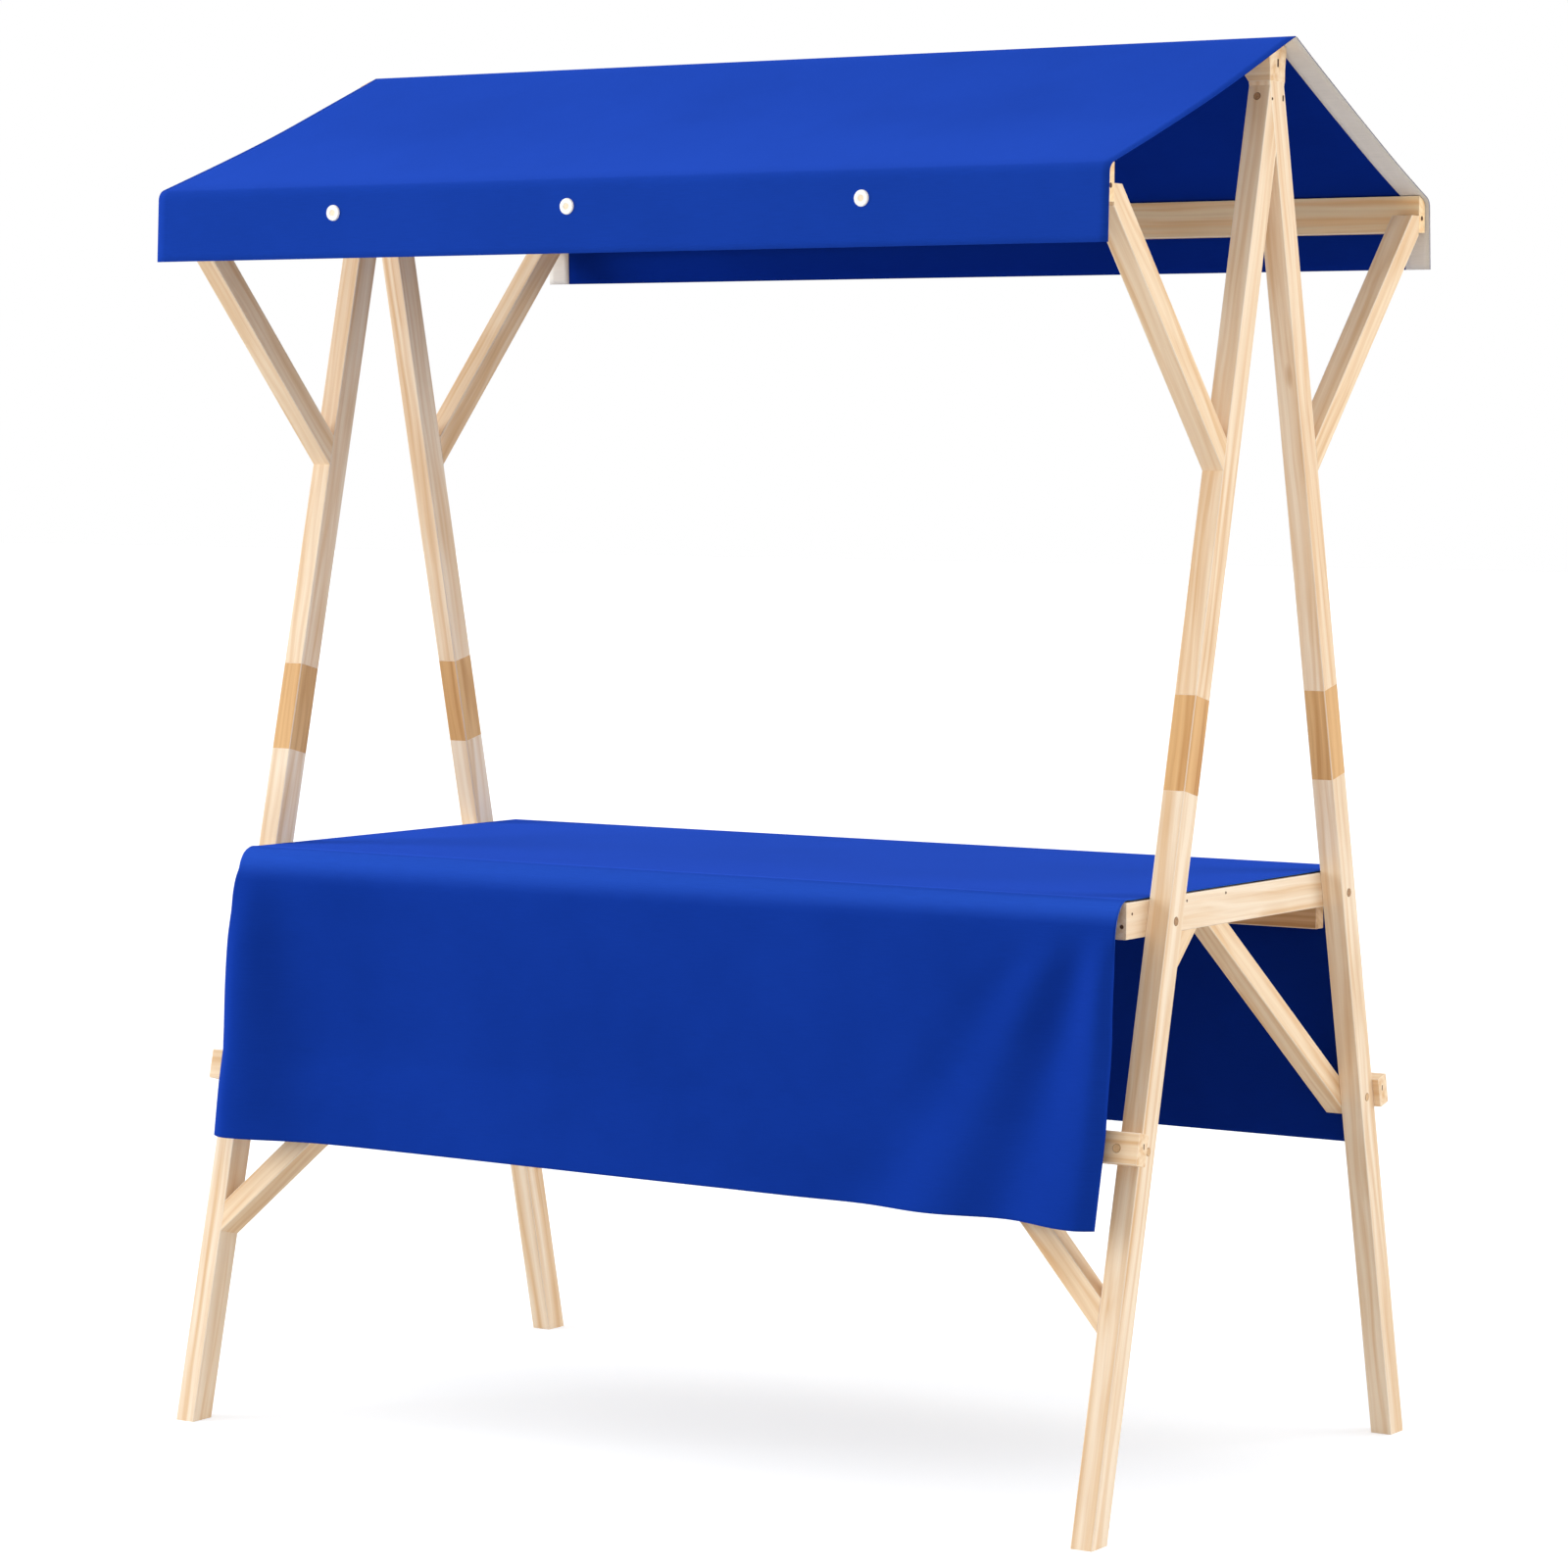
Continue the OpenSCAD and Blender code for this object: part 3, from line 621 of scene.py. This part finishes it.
def clothPath(x):  # the section of the cloth at a place along the counter
    if x in clothPaths:
        return clothPaths[x]
    along = x / tableCloth["halfLength"] / 2 + 0.5
    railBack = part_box("right_side_rail")[1][1] + tableCloth["railGap"]
    lift, bend = tableCloth["lift"], tableCloth["bend"]
    radius = blend(bend["right"], bend["left"], (1 - along) ** 2)
    hem, flare = (blend(*tableCloth[key], along) for key in ("frontHem", "hemFlare"))
    top = tableTop[1][2] + lift
    battenLow, battenHigh = tableCloth["battenSpan"]
    corners = [(battenFront(battenLow) - lift - flare, hem)]
    corners += [(battenFront(z) - lift, z) for z in (battenLow, battenHigh)]
    for step in range(bend["steps"] + 1):
        angle = math.pi - (math.pi - bend["lip"]) * step / bend["steps"]
        corners.append((tableTop[0][1] + bend["set"] + radius * math.cos(angle),
                        top + (radius + bend["rise"]) * (math.sin(angle) - math.sin(bend["lip"]))))
    corners += [(railBack - tableCloth["backTurnY"], top), (railBack, top - tableCloth["backTurnZ"]),
                (railBack, tableCloth["backHem"])]
    length = [0.0]
    for start, end in zip(corners, corners[1:]):
        length.append(length[-1] + math.dist(start, end))
    clothPaths[x] = corners, length
    return corners, length


def alongPath(corners, length, distance):
    index = 0
    while distance > length[index + 1] and index < len(corners) - 2:
        index += 1
    part = (distance - length[index]) / (length[index + 1] - length[index])
    return tuple(blend(first, last, part) for first, last in zip(corners[index], corners[index + 1]))


# painted highlight along the front bend of the tablecloth
def paintedLightPart(x, y, z):  # palest along the front bend, gone about 50 mm below the top
    bendHighlight = tableCloth["bendHighlight"]
    drop = tableTop[1][2] + tableCloth["lift"] - z
    if y > tableTop[0][1] + bendHighlight["behind"]:
        return 0.0
    if drop < bendHighlight["level"]:
        return bendHighlight["top"]
    part = limit((drop - bendHighlight["start"]) / (bendHighlight["depth"] - bendHighlight["narrowing"] * x))
    return 1 - part * part * (3 - 2 * part)


drape = {
    "frames": 36, "gap": 0.0015, "skin": 0.001, "boardFriction": 12.0, "battenFriction": 0.5,
    "blockers": ("tabletop", "left_side_rail", "right_side_rail", "front_stretcher", "back_stretcher"),
    "cloth": {"quality": 8, "mass": 0.02, "tension_stiffness": 60.0, "compression_stiffness": 60.0,
              "shear_stiffness": 30.0, "bending_stiffness": 8.0, "air_damping": 3.0},
}


def addBlocker(name):
    bm = copyNode(name)
    if name == "tabletop":  # carries the stiff ends of the cloth out to the side rails
        bmesh.ops.scale(bm, vec=(tableCloth["halfLength"] / tableTop[1][0], 1, 1), verts=bm.verts)
    mesh = bpy.data.meshes.new("blocker")
    bm.to_mesh(mesh)
    bm.free()
    blocker = bpy.data.objects.new("blocker", mesh)
    bpy.context.scene.collection.objects.link(blocker)
    blocker.modifiers.new("blocker", "COLLISION")
    blocker.collision.thickness_outer = drape["skin"]
    blocker.collision.cloth_friction = drape["battenFriction" if "stretcher" in name else "boardFriction"]
    return blocker


def settleCloth(piece):
    scene = bpy.context.scene
    blockers = [addBlocker(name) for name in drape["blockers"]]
    held = piece.vertex_groups.new(name="held")
    onBoard = [vert.index for vert in piece.data.vertices
               if abs(vert.co.y) < tableCloth["heldHalf"] and vert.co.z > tableCloth["heldAbove"]]
    held.add(onBoard, 1.0, "REPLACE")
    fall = piece.modifiers.new("drape", "CLOTH")
    fall.settings.vertex_group_mass = "held"
    for setting, value in drape["cloth"].items():
        setattr(fall.settings, setting, value)
    fall.collision_settings.distance_min = drape["gap"]
    fall.collision_settings.use_self_collision = False
    fall.point_cache.frame_start = 1
    fall.point_cache.frame_end = drape["frames"]
    for step in range(1, drape["frames"] + 1):
        scene.frame_set(step)
    settled = bpy.data.meshes.new_from_object(piece.evaluated_get(bpy.context.evaluated_depsgraph_get()))
    piece.modifiers.clear()
    piece.vertex_groups.clear()
    piece.data = settled
    scene.frame_set(1)
    for blocker in blockers:
        bpy.data.objects.remove(blocker)


def change(between, value):  # 0 at the first of two values, 1 at the second
    return (value - between[0]) / (between[1] - between[0])


def foldPush(x, z):  # how far the front drop stands forward of its settled place
    drop, left, corner = (tableCloth[key] for key in ("drop", "leftFold", "cornerFold"))
    fallen = limit((drop["top"] - z) / drop["length"])
    push = drop["ripple"] * fallen * math.sin(drop["rippleWaves"] * x + drop["rippleStart"])
    away = x - left["at"]
    width = left["outside"] if away < 0 else left["inside"] + left["widening"] * fallen
    opened = (1 - math.exp(-fallen / left["opening"])) * (1 + left["belly"] * math.sin(math.pi * fallen))
    push += left["push"] * opened * math.exp(-0.5 * (away / width) ** 2)
    below = corner["top"] - z  # soft folds fan out from the right end of the counter
    spacing = corner["spacing"] + corner["fan"] * max(below, 0.0)
    phase = math.pi * (corner["from"] - x - corner["first"] - corner["lean"] * below) / spacing
    begun = min(fallen * corner["onset"], 1.0)
    fade = math.exp(-(max(phase, 0.0) / (corner["reach"] * math.pi)) ** 2) * begun
    clear = blend(*corner["clear"], limit(change(corner["clearBetween"], z)))
    slope = blend(*corner["slope"], limit(change(corner["slopeBetween"], z)))
    roll = corner["roll"] * max(change(corner["rollBetween"], x), 0.0) ** 2 * begun
    return push + slope * spacing / math.pi * fade * (clear - math.sin(phase)) - roll


def finishDrop(mesh):
    drop = tableCloth["drop"]
    for vert, run, place in zip(mesh.vertices, mesh.attributes["run"].data, mesh.attributes["place"].data):
        x = round(place.value, 5)
        corners, length = clothPath(x)
        bendStart = next(start for (y, z), start in zip(corners, length) if y > -tableCloth["heldHalf"])
        distance = run.value * length[-1]
        if distance > bendStart:
            continue
        y, z = alongPath(corners, length, distance)
        calm = limit((bendStart - distance - drop["calmAfter"]) / drop["calmLength"]) * drop["kept"]
        vert.co.y = y + limit((vert.co.y - y) * calm, *drop["sway"])
        vert.co.z = z + (vert.co.z - z) * calm * drop["sink"]
        vert.co.y -= foldPush(x, vert.co.z)
        atEnd = max((x - drop["endFrom"]) / drop["endWidth"], 0.0) ** 2
        reach = drop["endReach"] * limit((drop["top"] - z) / drop["endFall"]) * atEnd
        vert.co.x = x + (vert.co.x - x) * calm + reach


def buildTablecloth():
    flatLength = clothPath(0.0)[1][-1]
    rows = round(flatLength / tableCloth["rowPitch"])
    bm = bmesh.new()
    bmesh.ops.create_grid(bm, x_segments=tableCloth["columns"], y_segments=rows, size=1.0)
    weave = bm.loops.layers.uv.new("weave")
    runLayer = bm.verts.layers.float.new("run")
    placeLayer = bm.verts.layers.float.new("place")
    paintedLightLayer = bm.verts.layers.float.new("paintedLight")
    for vert in bm.verts:
        vert[runLayer] = (vert.co.y + 1) / 2
        crowded = vert.co.x * (1 + tableCloth["crowding"] * (1 - vert.co.x ** 2))
        x = round(crowded * tableCloth["halfLength"], 5)
        vert[placeLayer] = x
        corners, length = clothPath(x)
        y, z = alongPath(corners, length, vert[runLayer] * length[-1])
        for loop in vert.link_loops:
            loop[weave].uv = (x + tableCloth["weaveStart"], vert[runLayer] * flatLength)
        vert.co = Vector((x, y, z))
        vert[paintedLightLayer] = paintedLightPart(x, y, z)
    faceUp(bm)
    layers = [cloths[name] for name in ("clothOuter", "clothShadedInner", "clothRimHighlight")]
    piece = placePiece("tablecloth.sheet", bm, layers, smooth=True)
    settleCloth(piece)
    finishDrop(piece.data)
    smooth = piece.modifiers.new("smooth", "SUBSURF")
    smooth.levels = smooth.render_levels = 1
    smooth.boundary_smooth = "PRESERVE_CORNERS"
    addWall(piece, tableCloth["thickness"], 0.0, 1, 2)
    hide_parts("tablecloth")
    print("tablecloth settled, cut length", round(flatLength, 3))


buildTablecloth()

# Fittings: plugs and bolts in their recesses, small nails, and the cramp slots of the ridge and stretcher ends
outerFace = legHigh[0]
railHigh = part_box("right_side_rail")[1]
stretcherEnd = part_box("front_stretcher")[1][0]
legNormal = Vector((0, -math.cos(splay), math.sin(splay)))
fittings = {  # at is y and z on the outer face of a leg or rail, or x and z where a front or an end face carries it
    "legBolt": {"at": (0.306, 0.944), "radius": 0.0072, "height": 0.0006, "lip": 0.0016, "dip": 0.0004},
    "legPlug": {"at": (0.388, 0.594), "radius": 0.0070, "height": 0.0006, "lip": 0.0013, "dip": 0.0004},
    "apexBolt": {"at": (0.876, 2.228), "radius": 0.0062, "height": 0.0007, "lip": 0.0015, "dip": 0.0005},
    "stretcherPlug": {"at": (0.871, 0.604), "radius": 0.0072, "height": 0.0007, "lip": 0.0014, "dip": 0.0006},
    "purlinNail": {"at": (0.545, 2.062), "radius": 0.004, "height": 0.0006},
    "railEndNail": {"at": (0.851, 0.940), "radius": 0.0034, "height": 0.0005},
    "apexNail": {"at": (-0.0167, 2.224), "radius": 0.0024, "height": 0.0004},
    "railNail": {"at": ((-0.379, 0.959), (-0.198, 0.966), (-0.065, 0.969), (0.379, 0.959)),
                 "radius": 0.0022, "height": 0.0004},
    "stretcherSlot": {"level": 0.604, "proud": 0.012, "size": (0.0008, 0.0022, 0.0085)},
    "apexSlot": {"at": (0.0205, 2.227), "size": (0.0008, 0.0044, 0.0090)},
    "ridgeSlot": {"at": (0.001, 2.281), "size": (0.0008, 0.0048, 0.0125)},
}


def onLegFront(x, z, proud=0.0):
    return Vector((x, legFront(z), z)) + legNormal * proud


def addSlot(bm, point, size):
    made = bmesh.ops.create_cube(bm, size=1.0)["verts"]
    bmesh.ops.scale(bm, vec=size, verts=made)
    bmesh.ops.translate(bm, vec=point, verts=made)


def buildFittings():
    plugs, bolts, nails = bmesh.new(), bmesh.new(), bmesh.new()
    depth = tableCloth["battenDepth"]
    for side in (-1, 1):
        out = Vector((side, 0, 0))
        for end in (-1, 1):
            mirrored = Vector((1, -end, 1))
            for bm, name, rimMaterial in ((bolts, "legBolt", 1), (plugs, "legPlug", 1), (nails, "purlinNail", 0)):
                y, z = fittings[name]["at"]
                addButton(bm, Vector((side * outerFace, end * y, z)), out, fittings[name], rimMaterial)
            x, z = fittings["railEndNail"]["at"]
            addButton(nails, Vector((side * x, end * railHigh[1], z)), Vector((0, end, 0)), fittings["railEndNail"])
            x, z = fittings["apexBolt"]["at"]
            addButton(bolts, onLegFront(side * x, z) * mirrored, legNormal * mirrored, fittings["apexBolt"], 1)
            x, z = fittings["stretcherPlug"]["at"]
            place = onLegFront(side * x, z - depth * math.sin(splay), depth)
            addButton(plugs, place * mirrored, legNormal * mirrored, fittings["stretcherPlug"], 1)
            slot = fittings["stretcherSlot"]
            addSlot(nails, onLegFront(side * stretcherEnd, slot["level"], slot["proud"]) * mirrored, slot["size"])
        for y, z in fittings["railNail"]["at"]:
            addButton(nails, Vector((side * railHigh[0], y, z)), out, fittings["railNail"])
        y, z = fittings["apexNail"]["at"]
        addButton(nails, Vector((side * outerFace, y, z)), out, fittings["apexNail"])
        for name in ("apexSlot", "ridgeSlot"):
            addSlot(nails, Vector((side * outerFace, *fittings[name]["at"])), fittings[name]["size"])
    placePiece("legPlugs", plugs, [speckled["dowelEnd"], speckled["holeShade"]])
    placePiece("frameBolts", bolts, [speckled["boltPlug"], speckled["holeShade"]])
    placePiece("smallNails", nails, [speckled["holeShade"]])
    print("fittings placed")


buildFittings()

# Studio: pale floor that reads white, a warm even sky, two broad lamps and a far soft box on the left
studio = {
    "sky": 0.61, "skyTone": (1.0, 0.88, 0.74, 1.0), "seenSky": (1.0, 1.0, 1.0, 1.0), "lampTone": (1.0, 1.10, 1.22),
    "floor": 0.72, "floorHalf": 60.0, "lift": 0.46, "liftTone": (0.93, 1.0, 1.08, 1.0),
    "suns": (("overheadLamp", (0.0, -0.15, 0.98), 0.98, 80.0), ("rightLamp", (0.80, 0.55, 0.25), 1.28, 45.0)),
    "box": {"place": (-12.0, -8.2, 4.6), "aim": (0.0, 0.0, 1.0), "size": 9.0, "power": 1085.0},
}


def addSeen(tree, x, y):  # 1 for what the camera sees straight, by a gloss or through glass
    ray = addNode(tree, "ShaderNodeLightPath", (x, y)).outputs
    seen = addMath(tree, "MAXIMUM", (x + 200, y), ray["Is Camera Ray"], ray["Is Glossy Ray"])
    return addMath(tree, "MAXIMUM", (x + 350, y), seen, ray["Is Transmission Ray"])


def buildFloor():
    bm = bmesh.new()
    bmesh.ops.create_grid(bm, x_segments=1, y_segments=1, size=studio["floorHalf"])
    mesh = bpy.data.meshes.new("floor")
    bm.to_mesh(mesh)
    bm.free()
    floor = bpy.data.objects.new("floor", mesh)
    bpy.context.scene.collection.objects.link(floor)
    material, tree, shader = startMaterial("floorPale")
    shader.inputs["Base Color"].default_value = (studio["floor"],) * 3 + (1.0,)
    shader.inputs["Roughness"].default_value = 1.0
    shader.inputs["Specular IOR Level"].default_value = 0.0
    glow = addMath(tree, "MULTIPLY", (0, -300), addSeen(tree, -500, -300), studio["lift"])
    tree.links.new(glow, shader.inputs["Emission Strength"])
    shader.inputs["Emission Color"].default_value = studio["liftTone"]
    mesh.materials.append(material)


def buildSky():
    world = bpy.data.worlds.new("studioSky")
    bpy.context.scene.world = world
    world.use_nodes = True
    tree = world.node_tree
    sky = tree.nodes["Background"]
    seen = addSeen(tree, -700, 0)
    strength = addMath(tree, "MULTIPLY_ADD", (-200, 0), seen, 1.0 - studio["sky"], studio["sky"])
    tree.links.new(strength, sky.inputs["Strength"])
    tone = addMix(tree, "MIX", (-200, 200), seen, studio["skyTone"], studio["seenSky"])
    tree.links.new(tone, sky.inputs["Color"])


def addLamp(name, kind, energy, towards):
    lamp = bpy.data.lights.new(name, kind)
    lamp.energy = energy
    lamp.color = studio["lampTone"]
    holder = bpy.data.objects.new(name, lamp)
    holder.rotation_euler = Vector(towards).to_track_quat("Z", "Y").to_euler()
    bpy.context.scene.collection.objects.link(holder)
    return lamp, holder


def buildLamps():
    for name, source, energy, angle in studio["suns"]:
        lamp, holder = addLamp(name, "SUN", energy, source)
        lamp.angle = math.radians(angle)
    softBox = studio["box"]
    lamp, holder = addLamp("leftBox", "AREA", softBox["power"], Vector(softBox["place"]) - Vector(softBox["aim"]))
    lamp.shape = "SQUARE"
    lamp.size = softBox["size"]
    holder.location = softBox["place"]
    holder.visible_camera = False


buildFloor()
buildSky()
buildLamps()

# Camera at the photograph's viewing angle; focal length and centre are in pixels of its square frame
view = {
    "place": (4.3391, -6.8632, 1.6550), "yaw": 32.4011, "pitch": 4.8246, "roll": 0.3512,
    "pixels": 1600, "focal": 4888.3, "centreY": 880.0, "sensor": 36.0, "farClip": 200.0,
}


def buildCamera():
    camera = bpy.data.cameras.new("stallCamera")
    camera.sensor_width = view["sensor"]
    camera.lens = view["focal"] / view["pixels"] * view["sensor"]
    camera.shift_y = (view["centreY"] - view["pixels"] / 2) / view["pixels"]
    camera.clip_end = view["farClip"]
    holder = bpy.data.objects.new("stallCamera", camera)
    yaw, tilt, roll = (Matrix.Rotation(math.radians(angle), 4, axis)
                       for angle, axis in ((view["yaw"], "Z"), (90 - view["pitch"], "X"), (view["roll"], "Z")))
    holder.matrix_world = Matrix.Translation(view["place"]) @ yaw @ tilt @ roll
    bpy.context.scene.collection.objects.link(holder)
    bpy.context.scene.camera = holder


buildCamera()
bpy.context.scene.view_settings.view_transform = "Standard"
print("studio and camera ready")
